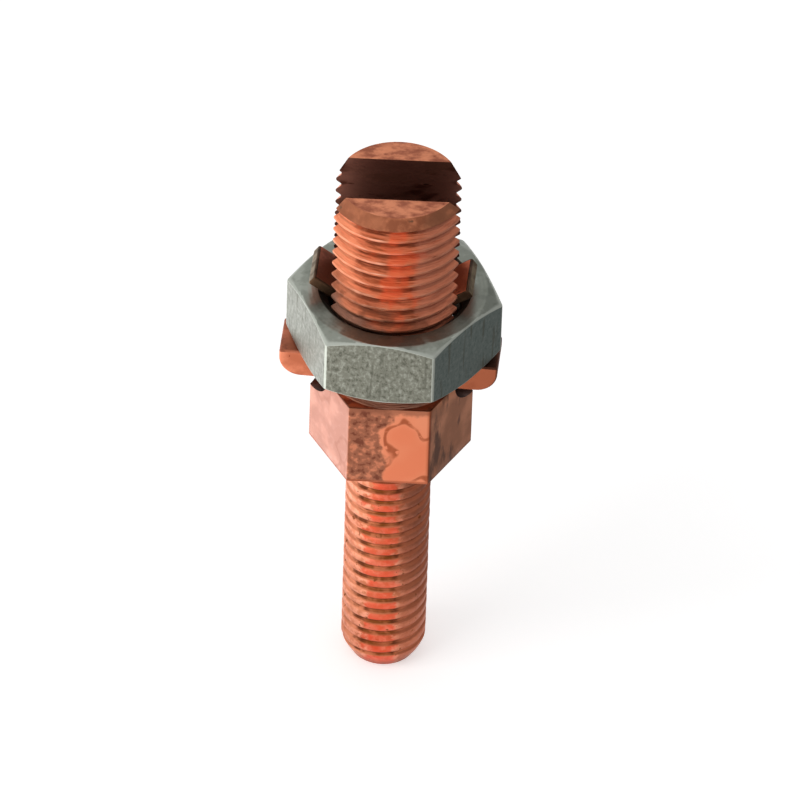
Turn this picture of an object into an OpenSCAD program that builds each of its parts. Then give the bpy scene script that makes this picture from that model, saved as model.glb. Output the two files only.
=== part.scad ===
// Split terminal post: a threaded post with a wire slot, a hexagon collar and a mounting
// stud, closed by a hexagon nut that carries a pressure bar in the slot.
// Millimetres, +Z along the post towards the slot, origin at the centre of the collar's
// underside, the slot running along X.

/* [Mounting stud] */
// Outside diameter of the stud's thread
stud_d = 9.5; // [6:0.1:12]
// Length of the stud below the collar
stud_l = 30.2; // [15:0.1:60]
// How far the taper at the stud's end reaches in
stud_taper_in = 1.15; // [0.2:0.05:2]
// How far that taper reaches up the stud
stud_taper_h = 2.4; // [0.5:0.1:5]

/* [Collar] */
// Width of the collar across its flats
collar_af = 15.6; // [14.5:0.1:24]
// Height of the collar
collar_h = 10.55; // [7:0.05:20]

/* [Split top] */
// Outside diameter of the thread on the split top
split_d = 15.5; // [13:0.1:18]
// Height of the two legs above the collar
leg_h = 26.2; // [20:0.05:50]
// How far the bevel on the legs' tops reaches in
leg_bevel_in = 1.15; // [0.3:0.05:2]
// How far that bevel reaches down
leg_bevel_down = 1; // [0.3:0.05:2]
// Width of the wire slot
slot_w = 6.9; // [5:0.1:8]
// How far the slot's round bottom is cut into the collar
slot_in_collar = 3.3; // [1:0.1:5]

/* [Threads] */
// Distance from ridge to ridge, on the stud and on the split top
thread_pitch = 1.5875; // [1.2:0.0125:2]
// Depth of the stud's thread
stud_thread_depth = 0.45; // [0.3:0.05:0.8]
// Width of the flat on the stud's ridges
stud_ridge_w = 0.7; // [0.2:0.05:0.75]
// Depth of the split top's thread
split_thread_depth = 0.7; // [0.4:0.05:1]
// Width of the flat on the split top's ridges
split_ridge_w = 0.25; // [0.1:0.05:0.5]
// Width of the flat at the bottom of the grooves
thread_root_w = 0.2; // [0.1:0.05:0.4]

/* [Clamp nut] */
// Width of the nut across its flats
nut_af = 20.8; // [19:0.1:28]
// Height of the nut
nut_h = 8; // [5:0.1:14]
// Angle of the bevel on the nut's corners, from its end faces
nut_bevel_angle = 28; // [15:1:40]
// Width of the flat ends, inside the bevel, less than the width across flats by this
nut_bevel_inset = 0.2; // [0:0.05:1]
// Bevel at both ends of the nut's bore
nut_bore_bevel = 0.6; // [0.1:0.1:1]
// Turn of the nut about the post, seen from above
nut_turn = -7; // [-30:1:30]

/* [Pressure bar] */
// Length of the bar
bar_l = 24.1; // [20:0.1:32]
// Thickness of the bar
bar_t = 3.45; // [2.5:0.05:6]
// Radius of the lower corner at each end of the bar
bar_end_r = 2.4; // [0.5:0.1:2.4]
// Height of the bar over the place where the slot's sides close in
bar_lift = 0.45; // [0.35:0.05:1.5]
// How far the loose bar lies off the middle, along its own length
bar_shift = -0.25; // [-0.4:0.05:0.4]
// Thickness of the two tabs that hold the bar to the nut
tab_t = 1.2; // [0.6:0.05:1.8]
// Outward lean of the tabs above the nut, from upright
tab_lean = 55; // [35:1:75]
// Inside radius of the bend in each tab
tab_bend_r = 0.8; // [0.4:0.1:1.5]
// How far below the nut's top the bend starts
tab_bend_drop = 0.9; // [0.3:0.1:2]
// How far the tabs reach out past the thread's outside
tab_reach = 1.35; // [0.8:0.05:3]

/* [Clearances] */
// Gap all round between the split top and the nut's bore
bore_gap = 0.15; // [0.1:0.05:0.5]
// Gap between the bar and each wall of the slot, when it lies straight
slot_play = 0.6; // [0.4:0.05:1]
// Gap left at the ends of the slot's walls, where the loose bar lies turned
wall_gap = 0.15; // [0.1:0.05:0.3]
// Gap between the bar and the nut above it
seat_gap = 0.1; // [0.05:0.05:0.4]
// Gap between the nearer tab's corners and the crests of the nut's thread
tab_gap = 0.2; // [0.1:0.05:0.6]

/* [Hidden] */
$fn = 96;

copper = "#C8643F";
zinc = "#8F958F";
overcut = 1;
groove_overcut = 0.1;
arc_steps = 10;

// Post
split_r = split_d / 2;
stud_r = stud_d / 2;
leg_top_z = collar_h + leg_h;
collar_ac = collar_af / cos(30);
slot_r = slot_w / 2;
slot_floor_z = collar_h - slot_in_collar;
slot_axis_z = slot_floor_z + slot_r;

// The loose bar lies turned about the post until its sides come near the ends of the slot's walls
leg_wall_end_x = sqrt(split_r * split_r - slot_r * slot_r);
collar_wall_end_x = collar_ac / 2 - slot_r * tan(30);
wall_end_x = max(leg_wall_end_x, collar_wall_end_x);
bar_w = slot_w - 2 * slot_play;
bar_turn = -atan((slot_play - wall_gap) / wall_end_x);
bar_side_y = bar_w / 2 / cos(bar_turn) - wall_end_x * tan(bar_turn);

// Heights of the bar and the nut, stacked on the place where the slot's sides close in
slot_side_z = slot_axis_z - sqrt(slot_r * slot_r - bar_side_y * bar_side_y);
bar_z = slot_side_z + bar_lift;
bar_top_z = bar_z + bar_t;
nut_z = bar_top_z + seat_gap;
nut_top_z = nut_z + nut_h;

// Nut
nut_ac = nut_af / cos(30);
nut_flat_r = (nut_af - nut_bevel_inset) / 2;
nut_corner_drop = (nut_ac / 2 - nut_flat_r) * tan(nut_bevel_angle);
bore_r = split_r + bore_gap;

// Tabs: each rises inside the crests of the nut's thread, bends outward and leans over the nut
crest_r = split_r - split_thread_depth;
tab_corner_r = crest_r - tab_gap;
tab_x = sqrt(tab_corner_r * tab_corner_r - bar_w * bar_w / 4) - abs(bar_shift);
tab_bend_z = nut_top_z - tab_bend_drop;
tab_bend_out = tab_bend_r * (1 - cos(tab_lean));
tab_end_x = split_r + tab_reach;
tab_lean_l = (tab_end_x - tab_x - tab_bend_out) / sin(tab_lean);

// A hexagon prism with a corner on +X
module hexagon(across_corners, height) {
    cylinder(d = across_corners, h = height, $fn = 6);
}

// A cylinder with its upper rim bevelled
module bevelled_rod(radius, height, bevel_in, bevel_down) {
    cylinder(r = radius, h = height - bevel_down);
    translate([0, 0, height - bevel_down])
        cylinder(r1 = radius, r2 = radius - bevel_in, h = bevel_down);
}

// Half section of one thread groove, wider at its mouth, its middle at the origin's height
module groove_half(radius, depth, mouth_w) {
    flare = (mouth_w - thread_root_w) / 2 / depth;
    outer_w = mouth_w + 2 * flare * groove_overcut;
    polygon([
        [radius - depth, -thread_root_w / 2],
        [radius + groove_overcut, -outer_w / 2],
        [radius + groove_overcut, outer_w / 2],
        [radius - depth, thread_root_w / 2]
    ]);
}

// The thread's grooves as rings, one pitch apart, from the rod's foot up to its bevel
module thread_grooves(radius, height, depth, ridge_w) {
    mouth_w = thread_pitch - ridge_w;
    first_z = ridge_w + mouth_w / 2;
    for (z = [first_z : thread_pitch : height])
        translate([0, 0, z])
            rotate_extrude()
                groove_half(radius, depth, mouth_w);
}

// The round-bottomed slot, open at the top and along X
module wire_slot() {
    slot_l = collar_ac + 2 * overcut;
    translate([-slot_l / 2, 0, slot_axis_z])
        rotate([0, 90, 0])
            cylinder(r = slot_r, h = slot_l);
    translate([-slot_l / 2, -slot_r, slot_axis_z])
        cube([slot_l, slot_w, leg_top_z - slot_axis_z + overcut]);
}

// Stud, collar and split legs, cut from one bar
module post() {
    color(copper) difference() {
        union() {
            mirror([0, 0, 1]) difference() {
                bevelled_rod(stud_r, stud_l, stud_taper_in, stud_taper_h);
                thread_grooves(stud_r, stud_l - stud_taper_h, stud_thread_depth, stud_ridge_w);
            }
            hexagon(collar_ac, collar_h);
            translate([0, 0, collar_h]) difference() {
                bevelled_rod(split_r, leg_h, leg_bevel_in, leg_bevel_down);
                thread_grooves(split_r, leg_h - leg_bevel_down, split_thread_depth, split_ridge_w);
            }
        }
        wire_slot();
    }
}

// Half section of the bevelled blank that trims the nut's corners
module nut_blank_half() {
    corner_r = nut_ac / 2;
    polygon([
        [0, 0],
        [nut_flat_r, 0],
        [corner_r, nut_corner_drop],
        [corner_r, nut_h - nut_corner_drop],
        [nut_flat_r, nut_h],
        [0, nut_h]
    ]);
}

// Half section of the bore with a bevel at both ends
module nut_bore_half() {
    mouth_r = bore_r + nut_bore_bevel;
    polygon([
        [0, 0],
        [mouth_r, 0],
        [bore_r, nut_bore_bevel],
        [bore_r, nut_h - nut_bore_bevel],
        [mouth_r, nut_h],
        [0, nut_h]
    ]);
}

// Hexagon nut, bevelled at both ends
module clamp_nut() {
    color(zinc) translate([0, 0, nut_z]) rotate([0, 0, nut_turn]) difference() {
        intersection() {
            hexagon(nut_ac, nut_h);
            rotate_extrude() nut_blank_half();
        }
        rotate_extrude() nut_bore_half();
    }
}

// What a round corner leaves over of a square one, the corner at the origin
module corner_waste(radius) {
    difference() {
        translate([-overcut, -overcut])
            square(radius + overcut);
        translate([radius, radius])
            circle(radius);
    }
}

// Side view of the bar, its lower corners round
module bar_outline() {
    difference() {
        translate([-bar_l / 2, 0])
            square([bar_l, bar_t]);
        for (side = [0, 1])
            mirror([side, 0])
                translate([-bar_l / 2, 0])
                    corner_waste(bar_end_r);
    }
}

// Points along an arc, from one angle to another
function arc(centre, radius, from, to) =
    [for (i = [0 : arc_steps]) let (a = from + (to - from) * i / arc_steps)
        centre + radius * [cos(a), sin(a)]];

// Side view of the tab at the bar's right end: riser, bend and lean
module tab_outline() {
    bend_centre = [tab_x + tab_bend_r, tab_bend_z - bar_z];
    outer_r = tab_bend_r + tab_t;
    bend_end = 180 - tab_lean;
    lean_run = tab_lean_l * [sin(tab_lean), cos(tab_lean)];
    upper_bend = arc(bend_centre, outer_r, 180, bend_end);
    lower_bend = arc(bend_centre, tab_bend_r, bend_end, 180);
    polygon(concat(
        [[tab_x - tab_t, 0]],
        upper_bend,
        [upper_bend[arc_steps] + lean_run, lower_bend[0] + lean_run],
        lower_bend,
        [[tab_x, 0]]
    ));
}

// Bar with the two tabs that pass up through the nut
module pressure_bar() {
    color(copper) translate([0, 0, bar_z]) rotate([90, 0, bar_turn])
        translate([bar_shift, 0, -bar_w / 2]) {
            linear_extrude(bar_w) bar_outline();
            for (side = [0, 1])
                mirror([side, 0, 0])
                    linear_extrude(bar_w) tab_outline();
        }
}

post();
clamp_nut();
pressure_bar();
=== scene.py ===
"""Split terminal post with its clamp nut and pressure bar, dressed for a studio picture."""

import logging
import math
from collections.abc import Callable
from dataclasses import dataclass, field
from enum import Enum

import bmesh
import bpy
import numpy as np
from mathutils import Matrix, Vector, noise


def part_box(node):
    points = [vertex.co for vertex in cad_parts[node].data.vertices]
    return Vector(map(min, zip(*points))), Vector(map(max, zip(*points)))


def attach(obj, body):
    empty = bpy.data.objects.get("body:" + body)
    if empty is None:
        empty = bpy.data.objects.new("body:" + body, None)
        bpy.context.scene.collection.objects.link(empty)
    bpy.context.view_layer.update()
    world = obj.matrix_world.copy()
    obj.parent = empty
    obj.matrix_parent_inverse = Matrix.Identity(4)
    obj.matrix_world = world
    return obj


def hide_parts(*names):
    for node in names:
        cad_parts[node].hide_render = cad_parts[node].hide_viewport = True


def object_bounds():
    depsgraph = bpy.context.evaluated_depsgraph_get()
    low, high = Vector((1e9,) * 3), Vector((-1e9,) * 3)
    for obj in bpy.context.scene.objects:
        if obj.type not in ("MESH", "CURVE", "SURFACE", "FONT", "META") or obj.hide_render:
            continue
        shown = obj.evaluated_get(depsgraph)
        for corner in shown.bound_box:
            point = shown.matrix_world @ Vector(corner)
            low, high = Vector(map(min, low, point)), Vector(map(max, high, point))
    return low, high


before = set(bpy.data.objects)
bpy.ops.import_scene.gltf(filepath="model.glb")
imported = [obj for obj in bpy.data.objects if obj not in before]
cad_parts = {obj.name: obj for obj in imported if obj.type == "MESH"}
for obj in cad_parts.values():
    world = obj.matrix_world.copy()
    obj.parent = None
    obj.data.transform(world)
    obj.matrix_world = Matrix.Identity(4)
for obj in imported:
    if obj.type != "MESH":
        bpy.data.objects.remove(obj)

CAD_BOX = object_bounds()
LOG = logging.getLogger("terminal_post")

# Lengths are in millimetres and angles in radians, unless a docstring says otherwise
MM = 0.001
TURN = 2.0 * math.pi
SIXTH = math.pi / 3.0
UP = Vector((0.0, 0.0, 1.0))
# Sizes of the collar and of the split top and its thread that other pieces or finishes also take up
COLLAR_H = 10.55
SPLIT_R = 7.75
PITCH = 1.5875
TOP_THREAD_DEPTH = 0.52
TOP_THREAD_START = 1.3
# Turn of the nut about the post, seen from above
NUT_TURN = math.radians(-7.0)
# Points nearer to one another than this are joined
WELD_MM = 0.001
# What is nearer to a plane than this lies on it
ON_MM = 0.01
# Where the columns on a rounded corner lie, as shares of its half
CORNER_SHARES = (-1.0, -0.67, -0.33, 0.0, 0.33, 0.67, 1.0)
# Faces that meet at more than this angle keep a crease between them
CREASE = math.radians(28.0)
# How far a large face rules the shading of its neighbours, where 50 is even
FACE_WEIGHT = 80
# How strong the finer layers of a cloudy pattern are, and how strongly a relief shows
CLOUD_FINENESS = 0.6
RELIEF_STRENGTH = 0.5
# How far a wave of rings turns for each unit of its scale
WAVE_RADIANS = 20.0
# Levels above any depth in a thread, for a strip that lies at all depths
ALL_DEPTHS = (9.0, 8.0)


class Body(Enum):
    """The bodies that the pieces ride on."""

    POST = "post_body"
    NUT = "nut_body"
    BAR = "bar_body"


class Axis(Enum):
    """The axes that a strip can lie across."""

    X = "X"
    Z = "Z"


class Skin(Enum):
    """The kinds of surface on one piece, in the order of its material slots."""

    MAIN = 0
    SIDES = 1
    CUT = 2
    TOP = 3
    STUD = 4
    BEVEL = 5


class Step(Enum):
    """The steps that a material is made in, each one node.

    A step has the node's type, its settings, the inputs that it takes in turn and the output it gives.
    """

    PLACE = ("ShaderNodeTexCoord", {}, (), "Object")
    GROOVE = ("ShaderNodeAttribute", {"attribute_name": "groove"}, (), "Fac")
    EDGE = ("ShaderNodeAttribute", {"attribute_name": "edge"}, (), "Fac")
    CAMERA_RAY = ("ShaderNodeLightPath", {}, (), "Is Camera Ray")
    GLOSSY_RAY = ("ShaderNodeLightPath", {}, (), "Is Glossy Ray")
    PASSING_RAY = ("ShaderNodeLightPath", {}, (), "Is Transmission Ray")
    CLOUDS = ("ShaderNodeTexNoise", {}, ("Vector", "Scale", "Detail", "Roughness"), "Fac")
    RINGS = (
        "ShaderNodeTexWave",
        {"wave_type": "RINGS", "rings_direction": "Z"},
        ("Vector", "Scale", "Distortion", "Detail", "Detail Scale"),
        "Fac",
    )
    STRETCH = ("ShaderNodeVectorMath", {"operation": "MULTIPLY"}, (0, 1), 0)
    ALONG = ("ShaderNodeVectorMath", {"operation": "DOT_PRODUCT"}, (0, 1), "Value")
    BAND = (
        "ShaderNodeMapRange",
        {"interpolation_type": "SMOOTHSTEP"},
        ("Value", "From Min", "From Max"),
        0,
    )
    SPREAD = ("ShaderNodeMapRange", {}, ("Value", "To Min", "To Max"), 0)
    TIMES = ("ShaderNodeMath", {"operation": "MULTIPLY"}, (0, 1), 0)
    SHIFT = ("ShaderNodeMath", {"operation": "MULTIPLY_ADD"}, (0, 1, 2), 0)
    FOLD = ("ShaderNodeMath", {"operation": "PINGPONG"}, (0, 1), 0)
    EITHER = ("ShaderNodeMath", {"operation": "ADD", "use_clamp": True}, (0, 1), 0)
    MIX = ("ShaderNodeMix", {"data_type": "RGBA"}, (0, 6, 7), 2)
    RELIEF = ("ShaderNodeBump", {}, ("Height", "Strength", "Distance", "Normal"), "Normal")
    METAL = ("ShaderNodeBsdfPrincipled", {}, ("Base Color", "Metallic", "Roughness", "Normal"), "BSDF")
    MATT = ("ShaderNodeBsdfDiffuse", {}, ("Color",), 0)
    GLOW = ("ShaderNodeEmission", {}, ("Strength",), 0)
    SUM = ("ShaderNodeAddShader", {}, (0, 1), 0)
    SURFACE = ("ShaderNodeOutputMaterial", {}, ("Surface",), None)
    SKY = ("ShaderNodeBackground", {}, ("Color", "Strength"), 0)
    WORLD = ("ShaderNodeOutputWorld", {}, ("Surface",), None)


def linear(hex_colour: str) -> tuple[float, float, float, float]:
    """Turns an sRGB hex colour into linear light.

    Args:
        hex_colour: colour such as "#C8643F".

    Returns:
        Red, green, blue and an opaque alpha.
    """
    channels = [int(hex_colour[i : i + 2], 16) / 255.0 for i in (1, 3, 5)]
    light = [c / 12.92 if c <= 0.04045 else ((c + 0.055) / 1.055) ** 2.4 for c in channels]
    return (light[0], light[1], light[2], 1.0)


def per_metre(size_mm: float) -> float:
    """Gives a pattern's scale from the real size of one of its features in millimetres."""
    return 1.0 / (size_mm * MM)


def add_node(tree: bpy.types.NodeTree, step: Step, *feeds: object) -> bpy.types.NodeSocket | None:
    """Adds one node with its settings and links.

    Args:
        tree: node tree that takes the node.
        step: the kind of node.
        feeds: what goes into its inputs in turn, each a value or a socket to link.

    Returns:
        The output that the step gives, or none at the end of a tree.
    """
    kind, settings, inputs, output = step.value
    node = tree.nodes.new(kind)
    for name, value in settings.items():
        setattr(node, name, value)
    for key, feed in zip(inputs, feeds):
        if isinstance(feed, bpy.types.NodeSocket):
            tree.links.new(feed, node.inputs[key])
        else:
            node.inputs[key].default_value = feed
    return None if output is None else node.outputs[output]


def new_material(name: str) -> tuple[bpy.types.Material, bpy.types.NodeTree]:
    """Makes an empty node material.

    Args:
        name: the material's name.

    Returns:
        The material and its cleared node tree.
    """
    material = bpy.data.materials.new(name)
    material.use_nodes = True
    material.node_tree.nodes.clear()
    return material, material.node_tree


@dataclass(frozen=True)
class Layer:
    """A colour that is laid on through masks.

    Attributes:
        colour: the colour.
        masks: where it shows, multiplied: the first is a socket, the others sockets or numbers.
    """

    colour: str
    masks: tuple[bpy.types.NodeSocket | float, ...]


def end_in_metal(
    tree: bpy.types.NodeTree,
    ground: str,
    layers: list[Layer],
    roughness: bpy.types.NodeSocket,
    normal: bpy.types.NodeSocket,
) -> None:
    """Ends a material in a bare metal surface with colours laid over one another.

    Args:
        tree: the material's node tree.
        ground: the lowest colour.
        layers: the other colours, from the lowest up.
        roughness: socket with the roughness.
        normal: socket with the relief's normal.
    """
    shown = linear(ground)
    for layer in layers:
        mask, *others = layer.masks
        for other in others:
            mask = add_node(tree, Step.TIMES, mask, other)
        shown = add_node(tree, Step.MIX, mask, shown, linear(layer.colour))
    metallic = 1.0
    add_node(tree, Step.SURFACE, add_node(tree, Step.METAL, shown, metallic, roughness, normal))


@dataclass(frozen=True)
class OxideAndPaintedLightStrip:
    """A strip across a piece, of oxide or of painted light and shade.

    Attributes:
        colour: its colour.
        axis: the axis along which its borders are measured.
        start, end: its borders, from the origin.
        depths: depths in a thread, from 0 to 1, at which it sets in and at which it is full.
        lean: how far the borders fall for each millimetre along the other axis.
        swing: angle by which the borders across X are turned about Z.
        stray_mm: how far its borders wander.
        bend_mm: size of the borders' bends.
        bend_layers: finer layers on the bends and on the patches.
        soft_mm: half the width over which a border fades.
        cover: how much of the metal it hides, from 0 to 1.
        broken: how far it is broken up into patches, from 0 to 1.
        patch_share: size of those patches, as a share of the bends.
        patches: levels of the pattern between which a patch sets in.
    """

    colour: str
    axis: Axis
    start: float
    end: float
    depths: tuple[float, float] = ALL_DEPTHS
    lean: float = 0.0
    swing: float = 0.0
    stray_mm: float = 2.0
    bend_mm: float = 1.5
    bend_layers: float = 2.0
    soft_mm: float = 0.4
    cover: float = 1.0
    broken: float = 0.0
    patch_share: float = 1.3
    patches: tuple[float, float] = (0.44, 0.56)

    def layer(
        self, tree: bpy.types.NodeTree, spot: bpy.types.NodeSocket, groove: bpy.types.NodeSocket
    ) -> Layer:
        """Works out where the strip lies.

        Args:
            tree: the material's node tree.
            spot: socket with the place on the piece.
            groove: socket with the depth in the thread, from 0 to 1.

        Returns:
            The strip's colour and masks.
        """
        way = (self.lean, 0.0, 1.0)
        if self.axis is Axis.X:
            way = (math.cos(self.swing), math.sin(self.swing), self.lean)
        along = add_node(tree, Step.ALONG, spot, way)
        bends, clots = (
            add_node(tree, Step.CLOUDS, spot, per_metre(size), self.bend_layers, CLOUD_FINENESS)
            for size in (self.bend_mm, self.bend_mm * self.patch_share)
        )
        strayed = add_node(tree, Step.SHIFT, bends, self.stray_mm * MM, along)
        first, last = ((border + self.stray_mm / 2) * MM for border in (self.start, self.end))
        soft = self.soft_mm * MM
        whole = add_node(tree, Step.BAND, clots, *self.patches)
        masks = (
            add_node(tree, Step.BAND, strayed, first - soft, first + soft),
            add_node(tree, Step.BAND, strayed, last + soft, last - soft),
            add_node(tree, Step.BAND, groove, *self.depths),
            add_node(tree, Step.SPREAD, whole, 1.0 - self.broken, 1.0),
            self.cover,
        )
        return Layer(self.colour, masks)


@dataclass(frozen=True)
class BareCopper:
    """Electrolytic copper, machined and left bare, with a film of oxide.

    Attributes:
        name: material name.
        clean: colour of freshly cut copper.
        deep: colour where the film is thick.
        grime: colour in the bottoms of the grooves and in the nicks.
        roughness: roughness of the clean and of the filmed metal.
        crest: colour of the painted highlight on a thread's crests, none where it is empty.
        strips: strips of oxide and of painted light and shade that lie over the film.
        grain: how the patterns are drawn out along X, Y and Z, longer where it is small.
        crest_reach: how far down the thread's depth the crest's colour reaches.
        crest_full: share of that reach at which the colour is full.
        highlight_patches: levels of the nicks' pattern between which a crest takes its painted
            highlight.
        film: levels of the pattern between which the film sets in.
        dirt: depths in a thread, from 0 to 1, between which the grime sets in.
        clots: levels of the pattern between which the grime sets in.
        nicks: levels of the pattern between which a nick sets in.
        blotch_mm: size of the film's blotches.
        blotch_layers: finer layers on the blotches.
        clot_mm: size of the clots of grime in the grooves.
        nick_mm: size of the dark nicks.
        spot_layers: finer layers on the clots and the nicks.
        tool_mark_mm: spacing of the tool marks, drawn coarser than the real 0.1 mm so that they show.
        mark_layers: finer layers on the tool marks.
        bump_mm: depth of the tool marks.
    """

    name: str
    clean: str
    deep: str
    grime: str
    roughness: tuple[float, float]
    crest: str = ""
    strips: tuple[OxideAndPaintedLightStrip, ...] = ()
    grain: tuple[float, float, float] = (1.0, 1.0, 1.0)
    crest_reach: float = 0.24
    crest_full: float = 0.2
    highlight_patches: tuple[float, float] = (0.38, 0.58)
    film: tuple[float, float] = (0.45, 0.66)
    dirt: tuple[float, float] = (0.35, 0.95)
    clots: tuple[float, float] = (0.46, 0.68)
    nicks: tuple[float, float] = (0.66, 0.74)
    blotch_mm: float = 3.0
    blotch_layers: float = 5.0
    clot_mm: float = 1.5
    nick_mm: float = 0.8
    spot_layers: float = 2.0
    tool_mark_mm: float = 0.5
    mark_layers: float = 3.0
    bump_mm: float = 0.05

    def material(self) -> bpy.types.Material:
        """Builds the node material.

        Returns:
            The material.
        """
        material, tree = new_material(self.name)
        spot = add_node(tree, Step.PLACE)
        groove = add_node(tree, Step.GROOVE)
        drawn = add_node(tree, Step.STRETCH, spot, self.grain)
        blotch, clot, nick, marks = (
            add_node(tree, Step.CLOUDS, drawn, per_metre(size), finer, CLOUD_FINENESS)
            for size, finer in (
                (self.blotch_mm, self.blotch_layers),
                (self.clot_mm, self.spot_layers),
                (self.nick_mm, self.spot_layers),
                (self.tool_mark_mm, self.mark_layers),
            )
        )
        film = add_node(tree, Step.BAND, blotch, *self.film)
        layers = [Layer(self.deep, (film,))]
        # Painted highlight: the crests painted pale in patches
        if self.crest:
            full = self.crest_reach * self.crest_full
            high = add_node(tree, Step.BAND, groove, self.crest_reach, full)
            layers.append(Layer(self.crest, (high, add_node(tree, Step.BAND, nick, *self.highlight_patches))))
        low = add_node(tree, Step.BAND, groove, *self.dirt)
        layers.append(Layer(self.grime, (low, add_node(tree, Step.BAND, clot, *self.clots))))
        layers += [strip.layer(tree, spot, groove) for strip in self.strips]
        layers.append(Layer(self.grime, (add_node(tree, Step.BAND, nick, *self.nicks),)))
        end_in_metal(
            tree,
            self.clean,
            layers,
            add_node(tree, Step.SPREAD, film, *self.roughness),
            add_node(tree, Step.RELIEF, marks, RELIEF_STRENGTH, self.bump_mm * MM),
        )
        return material


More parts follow.
